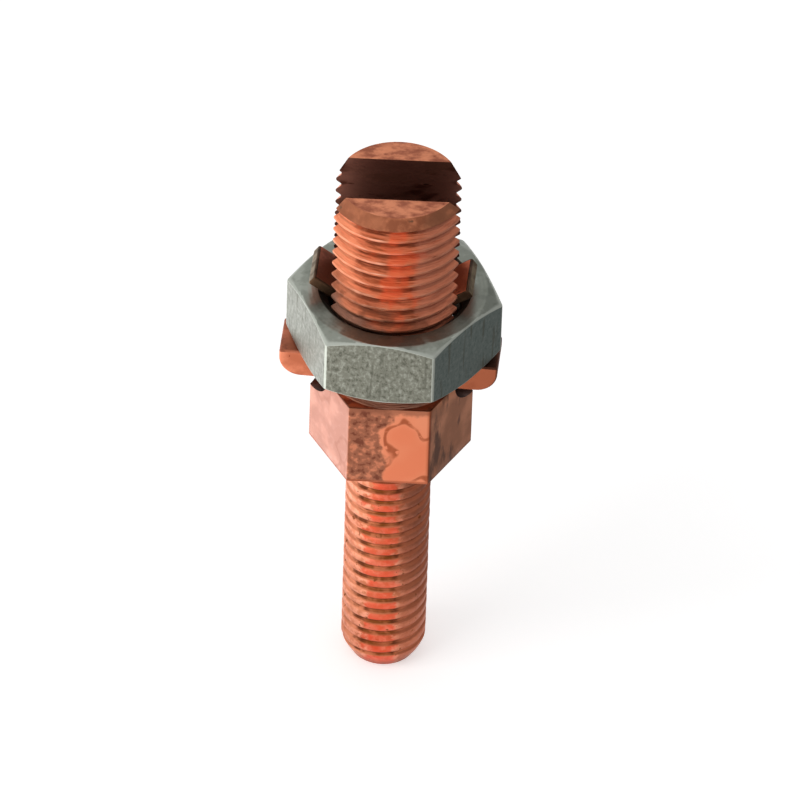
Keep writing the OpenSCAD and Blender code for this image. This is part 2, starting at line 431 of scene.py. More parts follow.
@dataclass(frozen=True)
class StainedCopper:
    """Drawn hexagon copper bar: a clean side, a stained side and a brown one, with a painted highlight
    on the sides towards -X and painted shade along its top and lower edges.

    Attributes:
        name: material name.
        clean: colour of the bare metal.
        flush: its warmer colour, in broad clouds.
        pale: colour of the painted highlight on the sides towards -X, which face the lamp.
        smudge: colour of the finger marks on those sides.
        stain: colour of the oxide stain on half of the front and back, and of the painted shadow along
            the top.
        fleck: colour of the dark flecks in the stain.
        edge: colour of the tide lines that the stain left, of the dark line at the front's right corner
            and of the painted shade along the lower edge.
        dull: colour of the sides towards +X.
        brown: colour of the film on those sides.
        dark: colour of the streaks in that film.
        fade: how much the streaks thin out for each millimetre away from the front.
        roughness: roughness of the clean and of the stained metal.
        corner_x: where the front meets the sides, from the axis.
        stain_x: middle of the stain's border, from the axis.
        stray_mm: how far that border wanders.
        wander_mm: size of its bends.
        speck_mm: size of the specks in the stain.
        tide_mm: size of the pools that the tide lines ran round.
        tide_step: step of the pattern from one tide line to the next.
        height: height of the bar.
        brow_mm: width of the painted shadow along its upper edge, under the nut.
        rim: heights over its lower edge at which the painted shade there sets in and is full.
        finer: finer layers on the border's bends, the specks, the pools and the streaks.
        fineness: how strong the first three of these are.
        streak_share: size of the streaks, as a share of the border's bends.
        streak_grain: how the streaks are drawn out along X, Y and Z, longer where it is small.
        flushes: levels of the pools between which the warmer colour sets in.
        shores: levels of the folded pools between which a tide line sets in.
        gaps: levels of the specks between which a tide line goes on after a gap.
        reach: levels of the border's pattern between which the tide lines set in.
        spared: levels of the specks between which the stain thins out.
        spared_cover: how much of the stain is left there.
        flecks: levels of the specks between which a fleck sets in.
        film: levels of the border's pattern between which the film on the sides sets in.
        streaks: levels of the pattern between which a streak sets in.
        side_soft: half the width over which one side's look gives way to the next one's.
        stain_soft: half the width over which the stain's border fades.
        corner_in, corner_out: distances from the front's right corner, on the front and beyond it,
        between which the dark line there sets in.
        brow_cover, side_line_cover, corner_cover, rim_cover: how much of the metal is hidden by the
        painted shadow along the top, the tide lines on the left, the dark line at the corner and the
        painted shade below.
        bump_mm: depth of the specks.
    """

    name: str
    clean: str
    flush: str
    pale: str
    smudge: str
    stain: str
    fleck: str
    edge: str
    dull: str
    brown: str
    dark: str
    fade: float
    roughness: tuple[float, float]
    corner_x: float
    stain_x: float
    stray_mm: float
    wander_mm: float
    speck_mm: float
    tide_mm: float
    tide_step: float
    height: float
    brow_mm: float
    rim: tuple[float, float]
    finer: tuple[float, float, float, float] = (4.0, 3.0, 2.5, 4.0)
    fineness: float = 0.5
    streak_share: float = 0.5
    streak_grain: tuple[float, float, float] = (1.0, 1.0, 0.35)
    flushes: tuple[float, float] = (0.42, 0.6)
    shores: tuple[float, float] = (0.02, 0.005)
    gaps: tuple[float, float] = (0.28, 0.42)
    reach: tuple[float, float] = (0.36, 0.52)
    spared: tuple[float, float] = (0.5, 0.66)
    spared_cover: float = 0.45
    flecks: tuple[float, float] = (0.48, 0.32)
    film: tuple[float, float] = (0.36, 0.62)
    streaks: tuple[float, float] = (0.38, 0.54)
    side_soft: float = 0.1
    stain_soft: float = 0.4
    corner_in: tuple[float, float] = (-0.45, -0.05)
    corner_out: tuple[float, float] = (0.2, 0.05)
    brow_cover: float = 0.8
    side_line_cover: float = 0.35
    corner_cover: float = 0.7
    rim_cover: float = 0.75
    bump_mm: float = 0.02

    def material(self) -> bpy.types.Material:
        """Builds the node material.

        Returns:
            The material.
        """
        material, tree = new_material(self.name)
        spot = add_node(tree, Step.PLACE)
        across = add_node(tree, Step.ALONG, spot, (1.0, 0.0, 0.0))
        up = add_node(tree, Step.ALONG, spot, (0.0, 0.0, 1.0))
        drawn = add_node(tree, Step.STRETCH, spot, self.streak_grain)
        wander, speck, pools, streak = (
            add_node(tree, Step.CLOUDS, where, per_metre(size), finer, fineness)
            for where, size, finer, fineness in zip(
                (spot, spot, spot, drawn),
                (self.wander_mm, self.speck_mm, self.tide_mm, self.wander_mm * self.streak_share),
                self.finer,
                (self.fineness, self.fineness, self.fineness, CLOUD_FINENESS),
            )
        )
        stained, stain = self.stained(tree, across, wander, speck)
        left, right, corner = self.sides(tree, across)
        folded = add_node(tree, Step.FOLD, pools, self.tide_step)
        shore = add_node(tree, Step.BAND, folded, *self.shores)
        lines = add_node(tree, Step.TIMES, shore, add_node(tree, Step.BAND, speck, *self.gaps))
        film = add_node(tree, Step.BAND, wander, *self.film)
        thinned = add_node(tree, Step.SHIFT, across, -self.fade / MM, streak)
        thick = [level - self.fade * self.corner_x for level in self.streaks]
        brow = add_node(tree, Step.SHIFT, speck, 2 * self.brow_mm * MM, up)
        top, soft = self.height * MM, self.brow_mm / 2 * MM
        shoulder = add_node(tree, Step.BAND, brow, top - soft, top + soft)
        foot = add_node(tree, Step.BAND, up, *(height * MM for height in self.rim))
        layers = [
            Layer(self.flush, (add_node(tree, Step.BAND, pools, *self.flushes),)),
            Layer(self.edge, (lines, add_node(tree, Step.BAND, wander, *self.reach))),
            *stain,
            # Painted shadow along the top, under the nut
            Layer(self.stain, (shoulder, self.brow_cover)),
            # Painted highlight: the sides towards -X painted pale
            Layer(self.pale, (left,)),
            Layer(self.smudge, (left, film)),
            Layer(self.stain, (left, lines, self.side_line_cover)),
            Layer(self.dull, (right,)),
            Layer(self.brown, (right, film)),
            Layer(self.dark, (right, add_node(tree, Step.BAND, thinned, *thick))),
            Layer(self.edge, (*corner, self.corner_cover)),
            # Painted shade along the lower edge
            Layer(self.edge, (foot, self.rim_cover)),
        ]
        end_in_metal(
            tree,
            self.clean,
            layers,
            add_node(tree, Step.SPREAD, stained, *self.roughness),
            add_node(tree, Step.RELIEF, speck, RELIEF_STRENGTH, self.bump_mm * MM),
        )
        return material

    def stained(
        self,
        tree: bpy.types.NodeTree,
        across: bpy.types.NodeSocket,
        wander: bpy.types.NodeSocket,
        speck: bpy.types.NodeSocket,
    ) -> tuple[bpy.types.NodeSocket, list[Layer]]:
        """Works out the stain.

        Args:
            tree: the material's node tree.
            across: socket with the place along X.
            wander: socket with the pattern of its border's bends.
            speck: socket with the pattern of its specks.

        Returns:
            The mask of the stain, and the layers of the stain and its flecks.
        """
        bent = add_node(tree, Step.SHIFT, wander, self.stray_mm * MM, across)
        border = (self.stain_x + self.stray_mm / 2) * MM
        soft = self.stain_soft * MM
        inside = add_node(tree, Step.BAND, bent, border + soft, border - soft)
        spared = add_node(tree, Step.BAND, speck, *self.spared)
        thinned = add_node(tree, Step.SPREAD, spared, 1.0, self.spared_cover)
        stained = add_node(tree, Step.TIMES, inside, thinned)
        flecks = add_node(tree, Step.BAND, speck, *self.flecks)
        return stained, [Layer(self.stain, (stained,)), Layer(self.fleck, (stained, flecks))]

    def sides(
        self, tree: bpy.types.NodeTree, across: bpy.types.NodeSocket
    ) -> tuple[bpy.types.NodeSocket, bpy.types.NodeSocket, tuple[bpy.types.NodeSocket, ...]]:
        """Tells the sides from the front and back.

        Args:
            tree: the material's node tree.
            across: socket with the place along X.

        Returns:
            The mask of the sides towards -X, that of those towards +X, and the two masks that leave
            the corner in front of the latter.
        """
        near, far = self.corner_x - self.side_soft, self.corner_x + self.side_soft
        left = add_node(tree, Step.BAND, across, -near * MM, -far * MM)
        right = add_node(tree, Step.BAND, across, near * MM, far * MM)
        corner = tuple(
            add_node(tree, Step.BAND, across, *((self.corner_x + off) * MM for off in ends))
            for ends in (self.corner_in, self.corner_out)
        )
        return left, right, corner


@dataclass(frozen=True)
class ZincSteel:
    """Steel under a zinc coat: mottled where it was forged, ringed where it was turned.

    Attributes:
        name: material name.
        mid: colour of most of the coat.
        pale: colour of the light veins.
        dark: colour of the pits.
        worn: colour of the edges, worn bright and painted as a highlight.
        roughness: roughness of the coat's veins and pits.
        mottle_mm: size of the coat's crystals.
        bump_mm: depth of the coat's relief.
        grain: how the coat is drawn out along X, Y and Z, longer where it is small.
        scratch_mm: width of the upright scratches, none where it is 0.
        ring_mm: spacing of the turning marks, drawn coarser than the real 0.1 mm so that they show.
        ring_bump_mm: depth of the turning marks, none where it is 0.
        strips: painted light, tints of the coat that differ from flat to flat.
        mottle_layers, mottle_fineness: finer layers on the crystals, and how strong they are.
        pits, veins: levels of the crystals between which a pit and a vein set in.
        sheen: levels of the crystals between which the roughness changes.
        scratch_layers: finer layers on the scratches.
        scratches: levels of the pattern between which a scratch sets in.
        scratch_grain: how the scratches are drawn out along X, Y and Z.
        scratch_cover: how much of the coat a scratch hides.
        wear_and_sheen: shares of an edge's mark between which its bright colour, worn metal with a
            painted highlight, sets in.
        ring_sway: how far the turning marks sway, the finer layers on that, and their scale.
    """

    name: str
    mid: str
    pale: str
    dark: str
    worn: str
    roughness: tuple[float, float]
    mottle_mm: float
    bump_mm: float
    grain: tuple[float, float, float] = (1.0, 1.0, 1.0)
    scratch_mm: float = 0.0
    ring_mm: float = 0.45
    ring_bump_mm: float = 0.0
    strips: tuple[OxideAndPaintedLightStrip, ...] = ()
    mottle_layers: float = 3.0
    mottle_fineness: float = 0.65
    pits: tuple[float, float] = (0.47, 0.34)
    veins: tuple[float, float] = (0.52, 0.66)
    sheen: tuple[float, float] = (0.7, 0.3)
    scratch_layers: float = 1.0
    scratches: tuple[float, float] = (0.6, 0.72)
    scratch_grain: tuple[float, float, float] = (1.0, 1.0, 0.1)
    scratch_cover: float = 0.7
    wear_and_sheen: tuple[float, float] = (0.2, 0.9)
    ring_sway: tuple[float, float, float] = (3.0, 2.0, 0.6)

    def ring_scale(self) -> float:
        """Gives the scale at which a full turn of the wave is as long as the marks are apart."""
        return TURN / WAVE_RADIANS * per_metre(self.ring_mm)

    def material(self) -> bpy.types.Material:
        """Builds the node material.

        Returns:
            The material.
        """
        material, tree = new_material(self.name)
        spot = add_node(tree, Step.PLACE)
        groove = add_node(tree, Step.GROOVE)
        drawn = add_node(tree, Step.STRETCH, spot, self.grain)
        mottle = add_node(
            tree, Step.CLOUDS, drawn, per_metre(self.mottle_mm), self.mottle_layers, self.mottle_fineness
        )
        layers = [
            Layer(self.dark, (add_node(tree, Step.BAND, mottle, *self.pits),)),
            Layer(self.pale, (add_node(tree, Step.BAND, mottle, *self.veins),)),
        ]
        layers += [strip.layer(tree, spot, groove) for strip in self.strips]
        if self.scratch_mm:
            long_spot = add_node(tree, Step.STRETCH, spot, self.scratch_grain)
            size = per_metre(self.scratch_mm)
            marks = add_node(tree, Step.CLOUDS, long_spot, size, self.scratch_layers, CLOUD_FINENESS)
            scratch = add_node(tree, Step.BAND, marks, *self.scratches)
            layers.append(Layer(self.dark, (scratch, self.scratch_cover)))
        edge = add_node(tree, Step.EDGE)
        # Edges worn bright, with a painted highlight
        layers.append(Layer(self.worn, (add_node(tree, Step.BAND, edge, *self.wear_and_sheen),)))
        normal = add_node(tree, Step.RELIEF, mottle, RELIEF_STRENGTH, self.bump_mm * MM)
        if self.ring_bump_mm:
            rings = add_node(tree, Step.RINGS, spot, self.ring_scale(), *self.ring_sway)
            depth = self.ring_bump_mm * MM
            normal = add_node(tree, Step.RELIEF, rings, RELIEF_STRENGTH, depth, normal)
        sheen = add_node(tree, Step.BAND, mottle, *self.sheen)
        end_in_metal(tree, self.mid, layers, add_node(tree, Step.SPREAD, sheen, *self.roughness), normal)
        return material


# Lathe-cut copper thread: orange flanks and brown streaks along the thread, a painted highlight on the
# crests and towards -X, a painted red reflection along the front, and a foot painted dark as the nut's
# shade
THREAD_COPPER = BareCopper(
    name="copper_thread_cut",
    clean="#D97B57",
    deep="#A95838",
    # Painted highlight on the crests
    crest="#F0AC8E",
    grime="#7E3F28",
    roughness=(0.42, 0.54),
    strips=(
        # Painted red reflection along the front
        OxideAndPaintedLightStrip(
            "#F0653C", Axis.X, -1.4, 2.2, stray_mm=14.0, bend_mm=3.5, soft_mm=0.9, cover=0.6, broken=0.85
        ),
        OxideAndPaintedLightStrip("#D58A6E", Axis.X, 2.4, 9.0, stray_mm=3.0, soft_mm=0.8, cover=0.6),
        # Painted highlight towards -X
        OxideAndPaintedLightStrip("#F59A72", Axis.X, -9.0, -4.2, stray_mm=3.0, soft_mm=0.9, cover=0.55),
        # Painted shade: the legs darker at the nut's mouth and under the nut
        OxideAndPaintedLightStrip("#7E4A36", Axis.Z, 18.0, 24.2, lean=0.4, soft_mm=1.2, cover=0.75, broken=0.45),
        OxideAndPaintedLightStrip("#8A6656", Axis.Z, 0.0, 21.0, lean=0.35, stray_mm=1.5, soft_mm=0.6, cover=0.8),
    ),
    grain=(0.25, 0.25, 3.0),
    crest_reach=0.16,
    film=(0.44, 0.62),
    dirt=(0.68, 0.97),
    clots=(0.36, 0.5),
    nicks=(0.68, 0.8),
    blotch_mm=0.8,
    tool_mark_mm=0.45,
    bump_mm=0.3,
)
# Rolled copper thread: broad ridges with a painted red reflection along the front, a painted highlight
# towards -X, painted shade towards +X and brown dirt in the grooves
STUD_COPPER = BareCopper(
    name="copper_thread_rolled",
    clean="#C87652",
    deep="#B35E3D",
    # Painted highlight on the crests
    crest="#F0A284",
    grime="#8A4E2A",
    roughness=(0.46, 0.58),
    strips=(
        # Painted highlight towards -X
        OxideAndPaintedLightStrip("#DD9272", Axis.X, -9.0, -2.7, soft_mm=0.8, cover=0.45),
        # Painted red reflection along the front
        OxideAndPaintedLightStrip("#E0583A", Axis.X, -2.0, 1.4, (0.5, 0.1), stray_mm=4.0, cover=0.9, broken=0.25),
        OxideAndPaintedLightStrip("#7E4218", Axis.X, -1.6, 1.0, (0.6, 1.0), stray_mm=2.0, cover=0.6, broken=0.6),
        OxideAndPaintedLightStrip("#5E2F1A", Axis.X, -3.2, -1.8, (0.5, 0.9), stray_mm=2.0, cover=0.85, broken=0.9),
        OxideAndPaintedLightStrip("#5E2F1A", Axis.X, 0.9, 2.0, (0.4, 0.9), stray_mm=1.5, cover=0.85, broken=0.8),
        # Painted shade: a flat brown towards +X
        OxideAndPaintedLightStrip("#B4694C", Axis.X, 1.7, 9.0, stray_mm=1.5, soft_mm=0.6, cover=0.9),
        OxideAndPaintedLightStrip("#9A5236", Axis.Z, -31.0, -29.2, stray_mm=1.0, soft_mm=0.6, cover=0.6),
    ),
    crest_reach=0.4,
    clots=(0.42, 0.6),
)
# Drawn hexagon copper bar: orange where it is clean, with a brown stain and its tide lines, a painted
# highlight on the sides towards -X and painted shade along its top and lower edges
COLLAR_COPPER = StainedCopper(
    name="copper_hexagon_drawn",
    clean="#E58F6B",
    flush="#E1805C",
    # Painted highlight on the sides towards -X
    pale="#D19886",
    smudge="#BA8372",
    stain="#9E634B",
    fleck="#7A4433",
    edge="#A9593B",
    dull="#EC9F79",
    brown="#C37F5D",
    dark="#7E523D",
    fade=0.05,
    roughness=(0.36, 0.5),
    corner_x=4.5,
    stain_x=-0.6,
    stray_mm=9.0,
    wander_mm=4.0,
    speck_mm=0.75,
    tide_mm=9.0,
    tide_step=0.085,
    height=COLLAR_H,
    # Painted shadow along the top and painted shade along the lower edge
    brow_mm=0.65,
    rim=(0.48, 0.24),
)
# Sawn slot walls: dark, dull and scratched along the cut, with painted shade, nearly black, low down
# where the bar shades them
SAWN_COPPER = BareCopper(
    name="copper_slot_sawn",
    clean="#8E5D4E",
    deep="#653E31",
    grime="#552D22",
    roughness=(0.42, 0.58),
    # Painted shade: the walls nearly black low down, beside and under the bar
    strips=(OxideAndPaintedLightStrip("#3A231B", Axis.Z, -1.0, 12.5, cover=0.9),),
    grain=(0.4, 1.0, 1.0),
    tool_mark_mm=0.6,
)
# Faced leg tops: sawn across, so salmon and brown in soft blotches along the saw's way
FACED_COPPER = BareCopper(
    name="copper_end_faced",
    clean="#D88A67",
    deep="#9E5C45",
    grime="#8E4E39",
    roughness=(0.36, 0.5),
    grain=(0.75, 1.15, 1.0),
    film=(0.38, 0.64),
    blotch_mm=1.6,
    tool_mark_mm=0.7,
)
# Their bevels: turned and tumbled, with painted shade, brown, towards both ends and brighter in the
# middle
BEVELLED_COPPER = BareCopper(
    name="copper_bevel_turned",
    clean="#D0825E",
    deep="#985A40",
    grime="#7A543F",
    roughness=(0.38, 0.52),
    strips=(
        # Painted shade: both ends of the bevel brown
        OxideAndPaintedLightStrip("#975D43", Axis.X, -9.0, -1.2, soft_mm=0.9, cover=0.85, broken=0.3),
        OxideAndPaintedLightStrip("#8E5B43", Axis.X, 3.2, 9.0, soft_mm=0.9, cover=0.85, broken=0.4),
    ),
    film=(0.34, 0.6),
    blotch_mm=2.0,
    tool_mark_mm=0.7,
)
# Pressed copper strip: smooth and orange on its sides, duller at its right end
STRIP_COPPER = BareCopper(
    name="copper_strip_pressed",
    clean="#D88464",
    deep="#B9694B",
    grime="#7A3524",
    roughness=(0.36, 0.5),
    strips=(OxideAndPaintedLightStrip("#9C5438", Axis.X, 5.0, 20.0, cover=0.85),),
    blotch_mm=5.0,
    tool_mark_mm=0.9,
    bump_mm=0.03,
)
# The same strip's broad faces: a darker brown, painted as the nut's shade on the bar's top, redder on
# one tab, and with painted shadow, nearly black, at the right end
DARK_STRIP_COPPER = BareCopper(
    name="copper_strip_dark_and_shaded",
    clean="#B3694F",
    deep="#854C38",
    grime="#46251A",
    roughness=(0.4, 0.55),
    strips=(
        OxideAndPaintedLightStrip("#E07650", Axis.X, 5.5, 9.4, stray_mm=1.0, cover=0.7),
        # Painted shadow: the right end nearly black under the nut
        OxideAndPaintedLightStrip("#2E1C15", Axis.X, 9.6, 20.0, stray_mm=1.0, cover=0.85),
    ),
    tool_mark_mm=0.9,
    bump_mm=0.03,
)
# Its sheared edges on the tabs: painted shade, nearly black, for the shadow beside them
SHADED_EDGE_COPPER = BareCopper(
    name="copper_edge_painted_shade",
    clean="#5A4231",
    deep="#3C2A1E",
    grime="#231611",
    roughness=(0.45, 0.6),
    tool_mark_mm=0.6,
)
# The tabs' tips: cropped and tarnished to an olive brown
CROPPED_COPPER = BareCopper(
    name="copper_tip_cropped",
    clean="#75634A",
    deep="#5A4A36",
    grime="#3F3122",
    roughness=(0.42, 0.55),
    blotch_mm=1.5,
    tool_mark_mm=0.6,
)
# Zinc over forged steel: a mottled grey-green coat with pale veins, dark pits and bright edges, worn and
# painted as a highlight, and painted light that differs from flat to flat
ZINC_FLATS = ZincSteel(
    name="zinc_steel_forged",
    mid="#7F7F73",
    pale="#94958A",
    dark="#68685D",
    worn="#C4C8BE",
    roughness=(0.45, 0.6),
    mottle_mm=0.42,
    bump_mm=0.06,
    grain=(1.0, 1.0, 0.75),
    scratch_mm=0.6,
    # Painted light: the flats towards -X tinted lighter, as lit by the lamp, and those towards +X bluer,
    # as a painted reflection
    strips=tuple(
        OxideAndPaintedLightStrip(tint, Axis.X, start, end, swing=NUT_TURN, stray_mm=0.2, soft_mm=0.2, cover=0.45)
        for tint, start, end in (("#9DA09B", -13.0, -6.0), ("#7A8E90", 6.0, 13.0))
    ),
)
# Zinc over a turned face: smooth enough to mirror the copper beside it, with fine rings
ZINC_FACE = ZincSteel(
    name="zinc_steel_faced",
    mid="#868A81",
    pale="#959990",
    dark="#787C73",
    worn="#B0B4AB",
    roughness=(0.32, 0.44),
    mottle_mm=2.5,
    bump_mm=0.02,
    ring_bump_mm=0.008,
)
# The nut's tapped bore and the bevels at its mouths: the same zinc, painted dark as shade
ZINC_BORE = ZincSteel(
    name="zinc_steel_tapped",
    mid="#56534A",
    pale="#6B685E",
    dark="#3B3831",
    worn="#6B685E",
    roughness=(0.45, 0.6),
    mottle_mm=1.0,
    bump_mm=0.03,
)


@dataclass(frozen=True)
class Thread:
    """A right-hand screw thread, outside a shaft or inside a bore.

    Attributes:
        ridge_r: radius on top of the ridges.
        groove_r: radius at the bottom of the grooves.
        pitch: distance between two ridges.
        ridge_flat: width of the flat on a ridge.
        groove_flat: width of the flat in a groove.
        start: height at which a ridge passes the +X side.
        roundness: from 0, with sharp edges, to 1, with flanks that roll into ridge and groove.
        flank_rows: rows laid on each flank.
    """

    ridge_r: float
    groove_r: float
    pitch: float
    ridge_flat: float
    groove_flat: float
    start: float
    roundness: float
    flank_rows: int = 4

    def offsets(self) -> np.ndarray:
        """Spreads rows over one pitch.

        Returns:
            Their heights, from the middle of a ridge.
        """
        ridge_end = self.ridge_flat / 2
        groove_start = (self.pitch - self.groove_flat) / 2
        flank = np.linspace(ridge_end, groove_start, self.flank_rows + 2)
        return np.concatenate(([0.0], flank, [self.pitch / 2], self.pitch - flank[::-1]))

    def radius(self, angles: np.ndarray, heights: float | np.ndarray) -> np.ndarray:
        """Finds the thread's surface.

        Args:
            angles: angles round the axis.
            heights: heights along the axis, one for all angles or one for each.

        Returns:
            The radius at each place.
        """
        climb = heights - self.start - self.pitch * angles / TURN
        off = np.abs((climb + self.pitch / 2) % self.pitch - self.pitch / 2)
        flank = (self.pitch - self.ridge_flat - self.groove_flat) / 2
        down = np.clip((off - self.ridge_flat / 2) / flank, 0.0, 1.0)
        rounded = down * down * (3.0 - 2.0 * down)
        share = down + self.roundness * (rounded - down)
        return self.ridge_r + (self.groove_r - self.ridge_r) * share


@dataclass
class Loft:
    """Rows of points laid round the Z axis, one above another, in millimetres.

    Attributes:
        angles: the columns' angles, from one side of the seam to the other.
        rows: each row's radii and heights.
    """

    angles: np.ndarray
    rows: list[tuple[np.ndarray, np.ndarray]] = field(default_factory=list)

    def ring(self, radius: float | np.ndarray, height: float | np.ndarray) -> None:
        """Adds one row.

        Args:
            radius: its radius, one for all columns or one for each.
            height: its height, in the same way.
        """
        blank = np.zeros_like(self.angles)
        self.rows.append((blank + radius, blank + height))

    def thread(
        self,
        thread: Thread,
        low: float,
        high: float,
        trim: Callable[[np.ndarray, np.ndarray], np.ndarray],
    ) -> None:
        """Adds the rows of a thread, which climb round the axis and stop at two flat ends.

        Args:
            thread: the thread.
            low: height of its lower end.
            high: height of its upper end.
            trim: function of radii and heights that bevels its ends.
        """
        spare_turns = 2
        first = math.floor((low - thread.start) / thread.pitch) - spare_turns
        last = math.ceil((high - thread.start) / thread.pitch) + spare_turns
        heights = [
            thread.start + thread.pitch * (turn + self.angles / TURN) + offset
            for turn in range(first, last)
            for offset in thread.offsets()
        ]
        for height in heights:
            cut = np.clip(height, low, high)
            self.ring(trim(thread.radius(self.angles, cut), cut), cut)

    def mesh(self, name: str, closed: bool = False) -> bpy.types.Mesh:
        """Joins the rows into one welded mesh.

        Args:
            name: the mesh's name.
            closed: whether the last row joins the first.

        Returns:
            The mesh, in metres.
        """
        columns = len(self.angles)
        points = [
            np.column_stack((radius * np.cos(self.angles), radius * np.sin(self.angles), height))
            for radius, height in self.rows
        ]
        rows = len(points)
        pairs = rows if closed else rows - 1
        faces = [
            (
                row * columns + i,
                row * columns + i + 1,
                (row + 1) % rows * columns + i + 1,
                (row + 1) % rows * columns + i,
            )
            for row in range(pairs)
            for i in range(columns - 1)
        ]
        mesh = bpy.data.meshes.new(name)
        mesh.from_pydata((np.concatenate(points) * MM).tolist(), [], faces)
        draft = bmesh.new()
        draft.from_mesh(mesh)
        bmesh.ops.remove_doubles(draft, verts=draft.verts, dist=WELD_MM * MM)
        bmesh.ops.recalc_face_normals(draft, faces=draft.faces)
        draft.to_mesh(mesh)
        draft.free()
        return mesh


@dataclass(frozen=True)
class Hexagon:
    """A hexagon bar seen along its axis.

    Attributes:
        across_flats: width across its flats.
        corner_r: radius of its worn corners.
        first_corner: angle of one corner.
    """

    across_flats: float
    corner_r: float
    first_corner: float

    def radius(self, angles: np.ndarray) -> np.ndarray:
        """Finds the outline.

        Args:
            angles: angles round the axis.

        Returns:
            The outline's radius at each angle.
        """
        half = self.across_flats / 2
        off = np.abs((angles - self.first_corner + SIXTH / 2) % SIXTH - SIXTH / 2)
        centre = (half - self.corner_r) / math.cos(SIXTH / 2)
        chord = np.maximum(self.corner_r**2 - (centre * np.sin(off)) ** 2, 0.0)
        rounded = centre * np.cos(off) + np.sqrt(chord)
        return np.where(off < self.bend(), rounded, half / np.cos(SIXTH / 2 - off))

    def bend(self) -> float:
        """Finds how far round a corner its rounding reaches.

        Returns:
            The angle from the corner's middle to where the rounding meets the flat.
        """
        centre = (self.across_flats / 2 - self.corner_r) / math.cos(SIXTH / 2)
        across = self.corner_r * math.sin(SIXTH / 2)
        return math.atan2(across, centre + self.corner_r * math.cos(SIXTH / 2))

    def columns(self, count: int) -> np.ndarray:
        """Spreads columns round the axis, with more of them on the corners.

        Args:
            count: columns between one corner and the next.

        Returns:
            Angles over one full turn, the first and the last on the same corner.
        """
        corner = self.bend() * np.array(CORNER_SHARES)
        side = np.linspace(self.bend(), SIXTH - self.bend(), count)[1:-1]
        sixth = np.concatenate((corner, side))
        turn = np.concatenate([sixth + i * SIXTH for i in range(6)])
        turn = np.append(turn, turn[0] + TURN)
        return turn + self.first_corner


def spots(mesh: bpy.types.Mesh) -> np.ndarray:
    """Reads the places of a mesh's points.

    Args:
        mesh: the mesh.

    Returns:
        A row each of x, y and z, in millimetres.
    """
    points = np.zeros(len(mesh.vertices) * 3)
    mesh.vertices.foreach_get("co", points)
    return points.reshape(-1, 3).T / MM


def mark(mesh: bpy.types.Mesh, name: str, values: np.ndarray) -> None:
    """Gives the points of a mesh values that its materials read.

    Args:
        mesh: the mesh.
        name: the values' name.
        values: one value for each point.
    """
    layer = mesh.attributes.new(name, "FLOAT", "POINT")
    layer.data.foreach_set("value", values.astype(np.float32))


def sweep(outline: list[Vector], way: Vector) -> bmesh.types.BMesh:
    """Sweeps a flat outline into a prism.

    Args:
        outline: its corners, in metres.
        way: how far it is swept, in metres.

    Returns:
        The prism, for the caller to free.
    """
    draft = bmesh.new()
    base = draft.faces.new([draft.verts.new(corner) for corner in outline])
    swept = bmesh.ops.extrude_face_region(draft, geom=[base])["geom"]
    moved = [v for v in swept if isinstance(v, bmesh.types.BMVert)]
    bmesh.ops.translate(draft, verts=moved, vec=way)
    bmesh.ops.recalc_face_normals(draft, faces=draft.faces)
    return draft


def place(mesh: bpy.types.Mesh, name: str, finishes: list[bpy.types.Material]) -> bpy.types.Object:
    """Puts a mesh into the scene with its materials.

    Args:
        mesh: the mesh, in metres.
        name: the piece's name.
        finishes: its materials, in the order of Skin.

    Returns:
        The new object.
    """
    piece = bpy.data.objects.new(name, mesh)
    bpy.context.scene.collection.objects.link(piece)
    for finish in finishes:
        mesh.materials.append(finish)
    return piece


def shade(piece: bpy.types.Object) -> None:
    """Shades a piece smooth between its creases, with small roundings ruled by large flat faces.

    Args:
        piece: the finished piece.
    """
    mesh = piece.data
    mesh.polygons.foreach_set("use_smooth", [True] * len(mesh.polygons))
    mesh.set_sharp_from_angle(angle=CREASE)
    weighted = piece.modifiers.new("weighted_normals", "WEIGHTED_NORMAL")
    weighted.keep_sharp = True
    weighted.weight = FACE_WEIGHT


